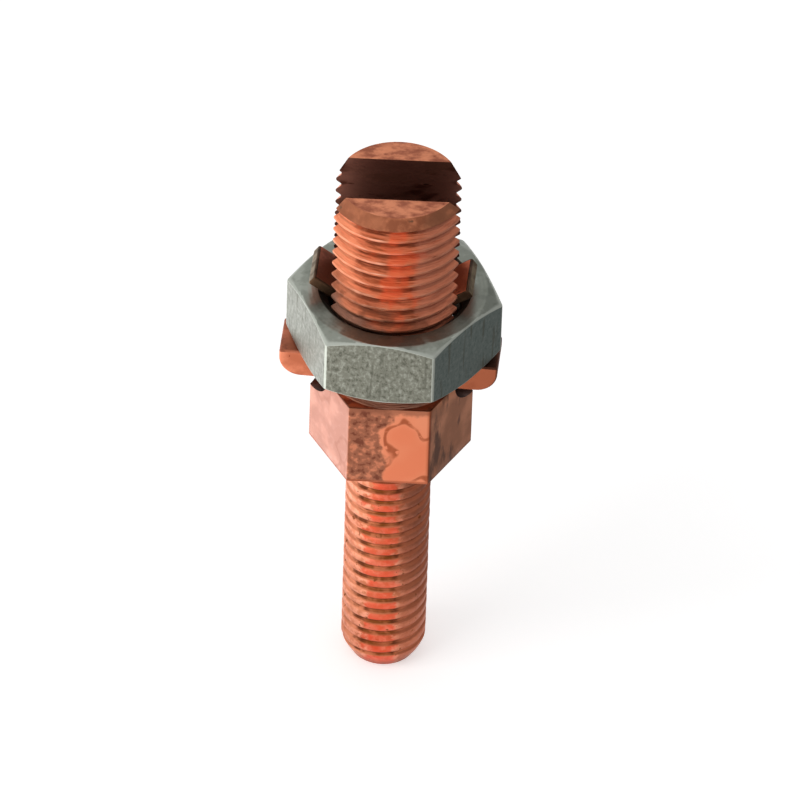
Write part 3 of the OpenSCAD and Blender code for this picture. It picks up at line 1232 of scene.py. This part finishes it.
@dataclass
class Post:
    """The copper post: mounting stud, hexagon collar and split top, cut from one bar.

    Attributes:
        low, high: heights of the stud's end and of the legs' tops, from the frame.
        stud_r: radius over the stud's crests.
        taper_in, taper_h: how far the taper at the stud's end reaches in and up.
        taper_bulge: how round that taper is, straight at 1.
        split_r: radius over the split top's crests.
        top_bevel_in, top_bevel_down: how far the bevel on the legs' tops reaches in and down.
        collar: the collar's outline.
        collar_h: height of the collar.
        collar_edge: width of the rounding on its edges.
        edge_share: where the middle row of that rounding lies, as a share of its width.
        side_rows: rows on the collar's sides.
        slot_w, slot_in_collar: width of the slot, and how far it is cut into the collar.
        slot_steps: points on its round bottom.
        pitch: pitch of both threads.
        stud_depth, top_depth: depths of the stud's thread and of the split top's.
        back_slope: how much the back leg's bevel widens for each millimetre down.
        left_slope: the same for the left end of the front leg's bevel.
        left_from, left_full: distances towards -X at which that slope sets in and is full.
        wear, wear_mm: depth and size of the worn places on the threads.
        wear_gap: how far beyond the collar's ends nothing is worn.
        bevel_rows: rows on the legs' bevel.
        bevel_slack: how far inside the uneven bevel a face still belongs to it.
        wall_x: most that a face of the slot's walls may look along X, from 0 to 1.
        top_z, shoulder_z: least that the legs' tops and the collar's shoulder look up, from 0 to 1.
        column_count: columns between two corners of the collar.
    """

    low: float = field(default_factory=lambda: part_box("post")[0].z / MM)
    high: float = field(default_factory=lambda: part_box("post")[1].z / MM)
    stud_r: float = 4.75
    taper_in: float = 1.15
    taper_h: float = 2.4
    taper_bulge: float = 1.5
    split_r: float = SPLIT_R
    top_bevel_in: float = 1.15
    top_bevel_down: float = 1.0
    collar: Hexagon = Hexagon(across_flats=15.6, corner_r=0.25, first_corner=0.0)
    collar_h: float = COLLAR_H
    collar_edge: float = 0.18
    edge_share: float = 0.3
    side_rows: int = 9
    slot_w: float = 6.9
    slot_in_collar: float = 3.3
    slot_steps: int = 33
    pitch: float = PITCH
    stud_depth: float = 0.25
    top_depth: float = TOP_THREAD_DEPTH
    back_slope: float = 0.45
    left_slope: float = 0.6
    left_from: float = 2.0
    left_full: float = 5.5
    wear: float = 0.08
    wear_mm: float = 1.0
    wear_gap: float = 0.1
    bevel_rows: int = 14
    bevel_slack: float = 0.12
    wall_x: float = 0.2
    top_z: float = 0.9
    shoulder_z: float = 0.5
    column_count: int = 26

    def stud_thread(self) -> Thread:
        """Describes the stud's thread.

        Returns:
            A thread with broad, rounded crests.
        """
        return Thread(
            ridge_r=self.stud_r,
            groove_r=self.stud_r - self.stud_depth,
            pitch=self.pitch,
            ridge_flat=0.72,
            groove_flat=0.16,
            start=0.3,
            roundness=0.8,
        )

    def top_thread(self) -> Thread:
        """Describes the split top's thread.

        Returns:
            A thread with narrow crests.
        """
        return Thread(
            ridge_r=self.split_r,
            groove_r=self.split_r - self.top_depth,
            pitch=self.pitch,
            ridge_flat=0.24,
            groove_flat=0.24,
            start=TOP_THREAD_START,
            roundness=0.5,
        )

    def stud_trim(self, radius: float | np.ndarray, height: float | np.ndarray) -> np.ndarray:
        """Tapers the stud's end."""
        down = np.clip(1.0 - (height - self.low) / self.taper_h, 0.0, 1.0)
        return np.minimum(radius, self.stud_r - self.taper_in * down**self.taper_bulge)

    def top_trim(self, radius: float | np.ndarray, height: float | np.ndarray) -> np.ndarray:
        """Bevels the legs' tops."""
        slope = self.top_bevel_in / self.top_bevel_down
        return np.minimum(radius, self.split_r - self.top_bevel_in + slope * (self.high - height))

    def blank(self) -> bpy.types.Mesh:
        """Lofts the post before its slot is cut.

        Returns:
            The mesh, in metres.
        """
        loft = Loft(self.collar.columns(self.column_count))
        side = self.collar.radius(loft.angles)
        inset = self.collar_edge * self.edge_share
        loft.ring(0.0, self.low)
        loft.ring(self.stud_r - self.taper_in - self.collar_edge, self.low)
        loft.thread(self.stud_thread(), self.low, 0.0, self.stud_trim)
        loft.ring(side - self.collar_edge, 0.0)
        loft.ring(side - inset, inset)
        for share in np.linspace(0.0, 1.0, self.side_rows):
            loft.ring(side, self.collar_edge + share * (self.collar_h - 2 * self.collar_edge))
        loft.ring(side - inset, self.collar_h - inset)
        loft.ring(side - self.collar_edge, self.collar_h)
        crown = self.high - self.top_bevel_down
        thread = self.top_thread()
        loft.thread(thread, self.collar_h, crown, self.top_trim)
        for share in np.linspace(0.0, 1.0, self.bevel_rows):
            height = crown + share * self.top_bevel_down
            loft.ring(self.top_trim(thread.radius(loft.angles, height), height), height)
        loft.ring(self.split_r - self.top_bevel_in - self.collar_edge, self.high)
        loft.ring(0.0, self.high)
        return loft.mesh("post")

    def bevel_r(self, spot: Vector) -> float:
        """Finds how far out the uneven bevel lets a leg reach.

        Args:
            spot: a place on a leg, in millimetres.

        Returns:
            The bevel's radius there, longer on the back leg and on the front one's left end.
        """
        slope = self.back_slope
        if spot.y < 0.0:
            even = self.top_bevel_in / self.top_bevel_down
            left = (-spot.x - self.left_from) / (self.left_full - self.left_from)
            slope = even + (self.left_slope - even) * min(max(left, 0.0), 1.0)
        return self.split_r - self.top_bevel_in + slope * (self.high - spot.z)

    def wear_thread(self, mesh: bpy.types.Mesh) -> None:
        """Wears the threads unevenly, and their first crests as far as the bevel.

        Args:
            mesh: the post's blank, which is changed.
        """
        for vertex in mesh.vertices:
            spot = vertex.co / MM
            reach = math.hypot(spot.x, spot.y)
            by_collar = -self.wear_gap < spot.z < self.collar_h + self.wear_gap
            if by_collar or reach < self.stud_r / 2:
                continue
            worn = reach
            if self.low + ON_MM < spot.z < self.high - self.top_bevel_down:
                worn -= self.wear * (0.5 + 0.5 * noise.noise(spot / self.wear_mm))
            if spot.z > 0.0:
                worn = min(worn, self.bevel_r(spot))
            vertex.co.xy *= worn / reach

    def slot_axis_z(self) -> float:
        """Gives the height of the axis of the slot's round bottom."""
        return self.collar_h - self.slot_in_collar + self.slot_w / 2

    def slot_cutter(self) -> bpy.types.Object:
        """Builds the block, round at its lower edge, that the slot is cut with.

        Returns:
            The block.
        """
        half = self.slot_w / 2
        reach = self.collar.across_flats
        axis_z = self.slot_axis_z()
        arc = [
            (half * math.cos(a), axis_z + half * math.sin(a))
            for a in np.linspace(math.pi, TURN, self.slot_steps)
        ]
        outline = [(-half, self.high + half), *arc, (half, self.high + half)]
        near = [Vector((-reach, y, z)) * MM for y, z in outline]
        draft = sweep(near, Vector((2 * reach * MM, 0.0, 0.0)))
        mesh = bpy.data.meshes.new("slot_cutter")
        draft.to_mesh(mesh)
        draft.free()
        return place(mesh, "slot_cutter", [])

    def cut_slot(self, piece: bpy.types.Object) -> None:
        """Cuts the wire slot through the split top and into the collar.

        Args:
            piece: the post's blank, which is changed.
        """
        cutter = self.slot_cutter()
        cut = piece.modifiers.new("slot", "BOOLEAN")
        cut.operation = "DIFFERENCE"
        cut.solver = "EXACT"
        cut.object = cutter
        graph = bpy.context.evaluated_depsgraph_get()
        mesh = bpy.data.meshes.new_from_object(piece.evaluated_get(graph))
        piece.modifiers.clear()
        piece.data = mesh
        bpy.data.objects.remove(cutter)

    def dress(self, mesh: bpy.types.Mesh) -> None:
        """Tells the post's surfaces from one another, and marks the depth of the grooves.

        Args:
            mesh: the finished mesh.
        """
        x, y, z = spots(mesh)
        radius = np.hypot(x, y)
        depth = np.where(
            z < 0.0,
            (self.stud_trim(self.stud_r, z) - radius) / self.stud_depth,
            (self.top_trim(self.split_r, z) - radius) / self.top_depth,
        )
        on_thread = (z < -WELD_MM) | ((z > self.collar_h + WELD_MM) & (z < self.high - WELD_MM))
        mark(mesh, "groove", np.where(on_thread, np.clip(depth, 0.0, 1.0), 0.0))
        half = self.slot_w / 2
        axis_z = self.slot_axis_z()
        for face in mesh.polygons:
            middle = face.center / MM
            off_axis = math.hypot(middle.y, min(middle.z - axis_z, 0.0))
            on_wall = abs(off_axis - half) < 2 * ON_MM and abs(face.normal.x) < self.wall_x
            if on_wall and middle.z > 0.0:
                face.material_index = Skin.CUT.value
            elif middle.z > self.high - self.top_bevel_down:
                flat = face.normal.z > self.top_z
                face.material_index = Skin.TOP.value if flat else Skin.BEVEL.value
            elif middle.z > self.collar_h and middle.xy.length > self.bevel_r(middle) - self.bevel_slack:
                face.material_index = Skin.BEVEL.value
            elif abs(middle.z - self.collar_h) < ON_MM and face.normal.z > self.shoulder_z:
                face.material_index = Skin.TOP.value
            elif -ON_MM < middle.z < self.collar_h + ON_MM:
                face.material_index = Skin.SIDES.value
            elif middle.z < 0.0:
                face.material_index = Skin.STUD.value

    def build(self) -> bpy.types.Object:
        """Builds and dresses the post.

        Returns:
            The finished piece.
        """
        skins = (
            THREAD_COPPER,
            COLLAR_COPPER,
            SAWN_COPPER,
            FACED_COPPER,
            STUD_COPPER,
            BEVELLED_COPPER,
        )
        blank = self.blank()
        self.wear_thread(blank)
        piece = place(blank, "terminal_post", [skin.material() for skin in skins])
        self.cut_slot(piece)
        self.dress(piece.data)
        shade(piece)
        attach(piece, Body.POST.value)
        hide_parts("post")
        return piece


@dataclass
class ClampNut:
    """The zinc-coated hexagon nut that runs on the split top.

    Attributes:
        low, high: heights of its two ends, from the frame.
        outline: its outline.
        face_r: radius of its flat ends.
        bevel_slope: how far the bevel on its corners drops for each millimetre outward.
        bore_gap: gap between its bore and the split top.
        mouth_bevel: bevel at both mouths of the bore.
        edge: width of the rounding on its edges.
        lip_out, lip_drop: where the bevel's first row lies, as shares of the rounding and of the drop.
        edge_limit: most of the bevel's width that the rounding takes up, as a share.
        rim_in, rim_down: where the rounding's middle row lies, as shares of its width.
        side_rows: rows between the bevels, on the sides.
        worn_in, worn_up: how far the bright edge, worn and painted as a highlight, reaches in from the
        sides, and up and down from the bevel's edge, as shares of the rounding.
        worn_round: how far it reaches round a corner, as a share of the corner.
        side_z: most that a face of the sides may look along Z, from 0 to 1.
        column_count: columns between two corners.
    """

    low: float = field(default_factory=lambda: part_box("clamp_nut")[0].z / MM)
    high: float = field(default_factory=lambda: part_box("clamp_nut")[1].z / MM)
    outline: Hexagon = Hexagon(across_flats=20.8, corner_r=0.4, first_corner=NUT_TURN)
    face_r: float = 10.3
    bevel_slope: float = math.tan(math.radians(28.0))
    bore_gap: float = 0.15
    mouth_bevel: float = 0.6
    edge: float = 0.14
    lip_out: float = 0.35
    lip_drop: float = 0.1
    edge_limit: float = 0.4
    rim_in: float = 0.12
    rim_down: float = 0.3
    side_rows: int = 9
    worn_in: float = 1.5
    worn_up: float = 0.9
    worn_round: float = 0.8
    side_z: float = 0.3
    column_count: int = 28

    def bore_thread(self) -> Thread:
        """Describes the bore's thread.

        Returns:
            A thread whose ridges lie in the grooves of the split top's.
        """
        return Thread(
            ridge_r=SPLIT_R + self.bore_gap - TOP_THREAD_DEPTH,
            groove_r=SPLIT_R + self.bore_gap,
            pitch=PITCH,
            ridge_flat=0.2,
            groove_flat=0.2,
            start=TOP_THREAD_START + PITCH / 2,
            roundness=0.3,
        )

    def mouth_r(self) -> float:
        """Gives the radius of the bore's mouths."""
        return SPLIT_R + self.bore_gap + self.mouth_bevel

    def mouth_trim(self, radius: np.ndarray, height: np.ndarray) -> np.ndarray:
        """Bevels both mouths of the bore."""
        inset = np.minimum(height - self.low, self.high - height)
        return np.maximum(radius, self.mouth_r() - inset)

    def half_rows(self, loft: Loft) -> list[tuple[np.ndarray, np.ndarray]]:
        """Lays out the rows of one end, from its flat ring to the side.

        Args:
            loft: the loft that the rows are for.

        Returns:
            Each row's radii and its depths below the end.
        """
        side = self.outline.radius(loft.angles)
        width = side - self.face_r
        drop = width * self.bevel_slope
        inset = np.minimum(self.edge, width * self.edge_limit)
        blank = np.zeros_like(side)
        return [
            (blank + self.face_r - self.edge, blank),
            (self.face_r + self.lip_out * np.minimum(width, self.edge), drop * self.lip_drop),
            (self.face_r + width / 2, drop / 2),
            (side - inset, drop - inset * self.bevel_slope),
            (side - self.edge * self.rim_in, drop + self.edge * self.rim_down),
            (side, drop + self.edge),
        ]

    def mesh(self) -> bpy.types.Mesh:
        """Lofts the nut round its threaded bore.

        Returns:
            The mesh, in metres.
        """
        loft = Loft(self.outline.columns(self.column_count))
        mouth_edge = self.mouth_r() + self.edge
        loft.ring(mouth_edge, self.high)
        half = self.half_rows(loft)
        for radius, depth in half:
            loft.ring(radius, self.high - depth)
        side, reach = half[-1]
        for share in np.linspace(0.0, 1.0, self.side_rows + 2)[1:-1]:
            loft.ring(side, self.high - reach - share * (self.high - self.low - 2 * reach))
        for radius, depth in reversed(half):
            loft.ring(radius, self.low + depth)
        loft.ring(mouth_edge, self.low)
        loft.thread(self.bore_thread(), self.low, self.high, self.mouth_trim)
        return loft.mesh("clamp_nut", closed=True)

    def dress(self, mesh: bpy.types.Mesh) -> None:
        """Tells the forged flats from the turned ends and the bore, and marks the edges that are worn
        and painted bright.

        Args:
            mesh: the finished mesh.
        """
        x, y, z = spots(mesh)
        radius = np.hypot(x, y)
        angle = np.arctan2(y, x) - self.outline.first_corner
        off = np.abs((angle + SIXTH / 2) % SIXTH - SIXTH / 2)
        side = self.outline.radius(np.arctan2(y, x))
        drop = (side - self.face_r) * self.bevel_slope
        depth = np.minimum(self.high - z, z - self.low)
        outer = radius > side - self.edge * self.worn_in
        corner = outer & (depth > drop - self.edge) & (off < self.outline.bend() * self.worn_round)
        rim = outer & (np.abs(depth - drop) < self.edge * self.worn_up)
        mark(mesh, "edge", corner | rim)
        for face in mesh.polygons:
            reach = math.hypot(face.center.x, face.center.y) / MM
            if reach > self.face_r and abs(face.normal.z) < self.side_z:
                face.material_index = Skin.SIDES.value
            # The bore and its mouths take the zinc painted dark as shade
            elif reach < self.mouth_r():
                face.material_index = Skin.CUT.value

    def build(self) -> bpy.types.Object:
        """Builds and dresses the nut.

        Returns:
            The finished piece.
        """
        skins = (ZINC_FACE, ZINC_FLATS, ZINC_BORE)
        piece = place(self.mesh(), "zinc_clamp_nut", [skin.material() for skin in skins])
        self.dress(piece.data)
        shade(piece)
        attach(piece, Body.NUT.value)
        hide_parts("clamp_nut")
        return piece


@dataclass
class PressureBar:
    """The copper bar under the nut, with two tabs that reach up through it.

    Attributes:
        low: height of its underside, from the frame.
        nut_high: height of the nut's top, from the frame.
        length, thickness, width: sizes of the bar without its tabs.
        end_r: radius of its lower corners.
        end_steps: points on such a corner.
        turn: its turn about the post.
        shift: how far it lies off the middle, along its own length.
        tab_corner_r: radius that the corners of the tabs' risers reach out to, inside the nut's thread.
        tab_reach: how far the tabs' undersides reach out past the split top.
        tab_t: thickness of the tabs.
        bend_drop: how far below the nut's top the bends start.
        bend_r: inside radius of the bends.
        bend_steps: points on a bend.
        lean: lean of the tabs' ends, from upright.
        rim, rim_steps: width of the rounding on its edges, and rows on it.
        rim_angle: least angle between two faces whose edge is rounded.
        outward_z: least that an outward face of a tab looks up, from 0 to 1.
        tip_x, crown_z, edge_y: least that a tab's tips, crowns and sheared edges look along X, Z and Y.
    """

    low: float = field(default_factory=lambda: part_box("pressure_bar")[0].z / MM)
    nut_high: float = field(default_factory=lambda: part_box("clamp_nut")[1].z / MM)
    length: float = 24.1
    thickness: float = 3.45
    width: float = 5.7
    end_r: float = 2.4
    end_steps: int = 13
    turn: float = math.radians(-3.67)
    shift: float = -0.25
    tab_corner_r: float = 6.85
    tab_reach: float = 1.35
    tab_t: float = 1.2
    bend_drop: float = 0.9
    bend_r: float = 0.8
    bend_steps: int = 9
    lean: float = math.radians(55.0)
    rim: float = 0.24
    rim_steps: int = 3
    rim_angle: float = math.radians(30.0)
    outward_z: float = 0.1
    tip_x: float = 0.7
    crown_z: float = 0.86
    edge_y: float = 0.25

    def tab_x(self) -> float:
        """Gives the distance from the bar's middle to the outer face of a tab's riser."""
        return math.sqrt(self.tab_corner_r**2 - (self.width / 2) ** 2) - abs(self.shift)

    def lean_l(self) -> float:
        """Gives the length of a tab's straight leaning end."""
        bend_out = self.bend_r * (1.0 - math.cos(self.lean))
        return (SPLIT_R + self.tab_reach - self.tab_x() - bend_out) / math.sin(self.lean)

    def tab_face(self, radius: float) -> list[tuple[float, float]]:
        """Draws one face of the right tab's bend and lean, seen from the side.

        Args:
            radius: the face's radius in the bend.

        Returns:
            Its points, from the riser to the tip.
        """
        centre_x = self.tab_x() + self.bend_r
        centre_z = self.nut_high - self.low - self.bend_drop
        points = [
            (centre_x + radius * math.cos(a), centre_z + radius * math.sin(a))
            for a in np.linspace(math.pi, math.pi - self.lean, self.bend_steps)
        ]
        end_x, end_z = points[-1]
        run = self.lean_l()
        return [*points, (end_x + run * math.sin(self.lean), end_z + run * math.cos(self.lean))]

    def right_half(self) -> list[tuple[float, float]]:
        """Draws the right half of the bar and its tab, seen from the side.

        Returns:
            Its points, from the underside's middle round to the top's.
        """
        half = self.length / 2
        corner = [
            (half - self.end_r + self.end_r * math.sin(a), self.end_r - self.end_r * math.cos(a))
            for a in np.linspace(0.0, math.pi / 2, self.end_steps)
        ]
        tab_x = self.tab_x()
        foot = [(half, self.thickness), (tab_x, self.thickness)]
        under = self.tab_face(self.bend_r)
        over = self.tab_face(self.bend_r + self.tab_t)
        return [*corner, *foot, *under, *over[::-1], (tab_x - self.tab_t, self.thickness)]

    def mesh(self) -> bpy.types.Mesh:
        """Sweeps the side view and rounds its rim.

        Returns:
            The mesh, in metres.
        """
        right = self.right_half()
        outline = right + [(-x, z) for x, z in reversed(right)]
        near = [Vector((x, -self.width / 2, z)) * MM for x, z in outline]
        draft = sweep(near, Vector((0.0, self.width * MM, 0.0)))
        rims = [e for e in draft.edges if e.calc_face_angle(0.0) > self.rim_angle]
        bmesh.ops.bevel(
            draft,
            geom=rims,
            offset=self.rim * MM,
            segments=self.rim_steps,
            profile=0.5,
            affect="EDGES",
            clamp_overlap=True,
        )
        bmesh.ops.bisect_plane(
            draft,
            geom=[*draft.verts, *draft.edges, *draft.faces],
            dist=WELD_MM * MM,
            plane_co=(0.0, 0.0, self.thickness * MM),
            plane_no=UP,
        )
        turned = Matrix.Translation((0.0, 0.0, self.low * MM)) @ Matrix.Rotation(self.turn, 4, "Z")
        shifted = turned @ Matrix.Translation((self.shift * MM, 0.0, 0.0))
        bmesh.ops.transform(draft, matrix=shifted, verts=draft.verts)
        mesh = bpy.data.meshes.new("pressure_bar")
        draft.to_mesh(mesh)
        draft.free()
        return mesh

    def dress(self, mesh: bpy.types.Mesh) -> None:
        """Tells the dark top and the tabs, with their edges and tips, from the bar's bright sides.

        Args:
            mesh: the finished mesh.
        """
        top = self.low + self.thickness
        for face in mesh.polygons:
            height = face.center.z / MM
            if height < top - self.rim:
                continue
            normal = face.normal
            outward = normal.x * face.center.x > 0.0 and normal.z > self.outward_z
            # Faces on top take the darker strip, painted as the nut's shade on the bar's top; crowns and
            # sheared edges take the painted shade
            face.material_index = Skin.SIDES.value
            if height > top + self.thickness and outward and abs(normal.x) > self.tip_x:
                face.material_index = Skin.TOP.value
            elif height > top + self.thickness and (outward or normal.z > self.crown_z):
                face.material_index = Skin.CUT.value
            elif height > top and abs(normal.y) > self.edge_y:
                face.material_index = Skin.CUT.value

    def build(self) -> bpy.types.Object:
        """Builds and dresses the bar.

        Returns:
            The finished piece.
        """
        skins = (STRIP_COPPER, DARK_STRIP_COPPER, SHADED_EDGE_COPPER, CROPPED_COPPER)
        piece = place(self.mesh(), "copper_pressure_bar", [skin.material() for skin in skins])
        self.dress(piece.data)
        shade(piece)
        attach(piece, Body.BAR.value)
        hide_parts("pressure_bar")
        return piece


@dataclass
class PhotoCamera:
    """A long-lens camera that looks down on the post from the front.

    Attributes:
        azimuth, elevation, roll: its direction and tilt, in degrees.
        target: the point in the middle of the picture, in millimetres.
        distance: how far away it stands, in millimetres.
        pixels_per_mm: the picture's scale at that distance.
        picture: the picture's width, in pixels.
        sensor: the sensor's width, in millimetres.
        sight: how far it sees, in metres.
    """

    azimuth: float = 0.784
    elevation: float = 40.148
    roll: float = 2.011
    target: tuple[float, float, float] = (0.979, 0.013, 5.455)
    distance: float = 1500.0
    pixels_per_mm: float = 9.065
    picture: int = 800
    sensor: float = 36.0
    sight: float = 10.0

    def build(self) -> bpy.types.Object:
        """Makes the camera and gives the scene to it.

        Returns:
            The camera.
        """
        a, e, tilt = (math.radians(v) for v in (self.azimuth, self.elevation, self.roll))
        back = Vector((math.sin(a) * math.cos(e), -math.cos(a) * math.cos(e), math.sin(e)))
        right = Vector((math.cos(a), math.sin(a), 0.0))
        up = back.cross(right)
        tilted_right = math.cos(tilt) * right + math.sin(tilt) * up
        tilted_up = math.cos(tilt) * up - math.sin(tilt) * right
        lens = bpy.data.cameras.new("photo_camera")
        lens.sensor_width = self.sensor
        lens.lens = self.pixels_per_mm * self.distance * self.sensor / self.picture
        lens.clip_end = self.sight
        camera = bpy.data.objects.new("photo_camera", lens)
        turn = Matrix((tilted_right, tilted_up, back)).transposed().to_4x4()
        spot = (Vector(self.target) + back * self.distance) * MM
        camera.matrix_world = Matrix.Translation(spot) @ turn
        bpy.context.scene.collection.objects.link(camera)
        bpy.context.scene.camera = camera
        return camera


@dataclass(frozen=True)
class Card:
    """A grey or white card that only the metal's reflections see.

    Attributes:
        name: its name.
        level: its brightness, where 1 is the white of the room.
        size: its width and height, in metres.
        spot: its middle, in metres.
        lies: whether it lies flat and looks up, where the others face the post.
    """

    name: str
    level: float
    size: tuple[float, float]
    spot: tuple[float, float, float]
    lies: bool = False


CARDS = (
    Card("ceiling", 0.75, (1.2, 0.8), (0.0, -0.3, 0.4)),
    Card("right", 0.3, (0.4, 0.5), (0.215, 0.0, -0.028), lies=True),
    Card("wing", 0.5, (0.7, 0.35), (0.24, 0.0, 0.14)),
    Card("back", 0.4, (0.1, 0.08), (0.055, 0.09, 0.095)),
    Card("left", 1.85, (0.24, 0.3), (-0.14, 0.05, -0.028), lies=True),
)


@dataclass
class Studio:
    """A white floor, a soft lamp and the cards that the metal mirrors.

    Attributes:
        white, paper: colours of the room and of the floor.
        floor_size: width of the floor, in metres.
        floor_gap: gap under the post's end.
        floor_lift: light added to the floor where it is seen or mirrored, which makes it white.
        ambient: brightness of the room on matt surfaces.
        aim: the place on the post that the lamp and the cards face, in metres.
        lamp_size: width of the square lamp, in metres.
        lamp_power: its power, in watts.
        lamp_spot: its place, in metres.
        cards: the cards.
    """

    white: str = "#FFFFFF"
    paper: str = "#F4F4F4"
    floor_size: float = 6.0
    floor_gap: float = 0.02
    floor_lift: float = 0.45
    ambient: float = 0.55
    aim: tuple[float, float, float] = (0.0, 0.0, 0.01)
    lamp_size: float = 0.5
    lamp_power: float = 1.6
    lamp_spot: tuple[float, float, float] = (-0.5, -0.3, 0.55)
    cards: tuple[Card, ...] = CARDS

    def shown(self, tree: bpy.types.NodeTree) -> bpy.types.NodeSocket:
        """Finds the rays that see the white background.

        Args:
            tree: the node tree that needs them.

        Returns:
            A socket that is 1 for camera, glossy and transmission rays.
        """
        seen = add_node(tree, Step.CAMERA_RAY)
        for ray in (Step.GLOSSY_RAY, Step.PASSING_RAY):
            seen = add_node(tree, Step.EITHER, seen, add_node(tree, ray))
        return seen

    def room(self) -> None:
        """Makes the world white to the eye and in mirrors, and softer on matt surfaces."""
        world = bpy.data.worlds.new("studio")
        world.use_nodes = True
        tree = world.node_tree
        tree.nodes.clear()
        level = add_node(tree, Step.SPREAD, self.shown(tree), self.ambient, 1.0)
        add_node(tree, Step.WORLD, add_node(tree, Step.SKY, linear(self.white), level))
        bpy.context.scene.world = world

    def sheet(
        self, name: str, size: tuple[float, float], spot: Vector, way: Vector
    ) -> bpy.types.Object:
        """Makes one flat sheet.

        Args:
            name: the sheet's name.
            size: its width and height, in metres.
            spot: its middle, in metres.
            way: the way that it faces.

        Returns:
            The sheet.
        """
        corners = [(-0.5, -0.5), (0.5, -0.5), (0.5, 0.5), (-0.5, 0.5)]
        mesh = bpy.data.meshes.new(name)
        mesh.from_pydata([(x * size[0], y * size[1], 0.0) for x, y in corners], [], [(0, 1, 2, 3)])
        sheet = bpy.data.objects.new(name, mesh)
        facing = way.to_track_quat("Z", "Y").to_matrix().to_4x4()
        sheet.matrix_world = Matrix.Translation(spot) @ facing
        bpy.context.scene.collection.objects.link(sheet)
        return sheet

    def floor(self) -> None:
        """Lays the white floor under the post."""
        spot = Vector((0.0, 0.0, CAD_BOX[0].z - self.floor_gap * MM))
        sheet = self.sheet("floor", (self.floor_size, self.floor_size), spot, UP)
        material, tree = new_material("paper_white_matt")
        lift = add_node(tree, Step.TIMES, self.shown(tree), self.floor_lift)
        matt = add_node(tree, Step.MATT, linear(self.paper))
        glow = add_node(tree, Step.GLOW, lift)
        add_node(tree, Step.SURFACE, add_node(tree, Step.SUM, matt, glow))
        sheet.data.materials.append(material)

    def hang(self, card: Card) -> None:
        """Hangs one card.

        Args:
            card: the card.
        """
        name = card.name + "_card"
        spot = Vector(card.spot)
        way = UP if card.lies else Vector(self.aim) - spot
        sheet = self.sheet(name, card.size, spot, way)
        material, tree = new_material(name)
        add_node(tree, Step.SURFACE, add_node(tree, Step.GLOW, card.level))
        sheet.data.materials.append(material)
        sheet.visible_camera = False
        sheet.visible_diffuse = False
        sheet.visible_shadow = False

    def lamp(self) -> None:
        """Hangs the soft lamp."""
        light = bpy.data.lights.new("key", "AREA")
        light.shape = "SQUARE"
        light.size = self.lamp_size
        light.energy = self.lamp_power
        lamp = bpy.data.objects.new("key", light)
        spot = Vector(self.lamp_spot)
        facing = (spot - Vector(self.aim)).to_track_quat("Z", "Y").to_matrix().to_4x4()
        lamp.matrix_world = Matrix.Translation(spot) @ facing
        bpy.context.scene.collection.objects.link(lamp)

    def build(self) -> None:
        """Sets up the room, the floor, the lamp and the cards."""
        bpy.context.scene.view_settings.view_transform = "Standard"
        self.room()
        self.floor()
        self.lamp()
        for card in self.cards:
            self.hang(card)


def triangles(piece: bpy.types.Object) -> int:
    """Counts the triangles of a piece."""
    return sum(len(face.vertices) - 2 for face in piece.data.polygons)


def main() -> None:
    """Builds the camera, the pieces and the studio, and reports each piece."""
    logging.basicConfig(level=logging.INFO, format="%(name)s: %(message)s")
    PhotoCamera().build()
    for part in (Post(), ClampNut(), PressureBar()):
        piece = part.build()
        LOG.info("%s: %d triangles", piece.name, triangles(piece))
    Studio().build()


if __name__ == "__main__":
    main()
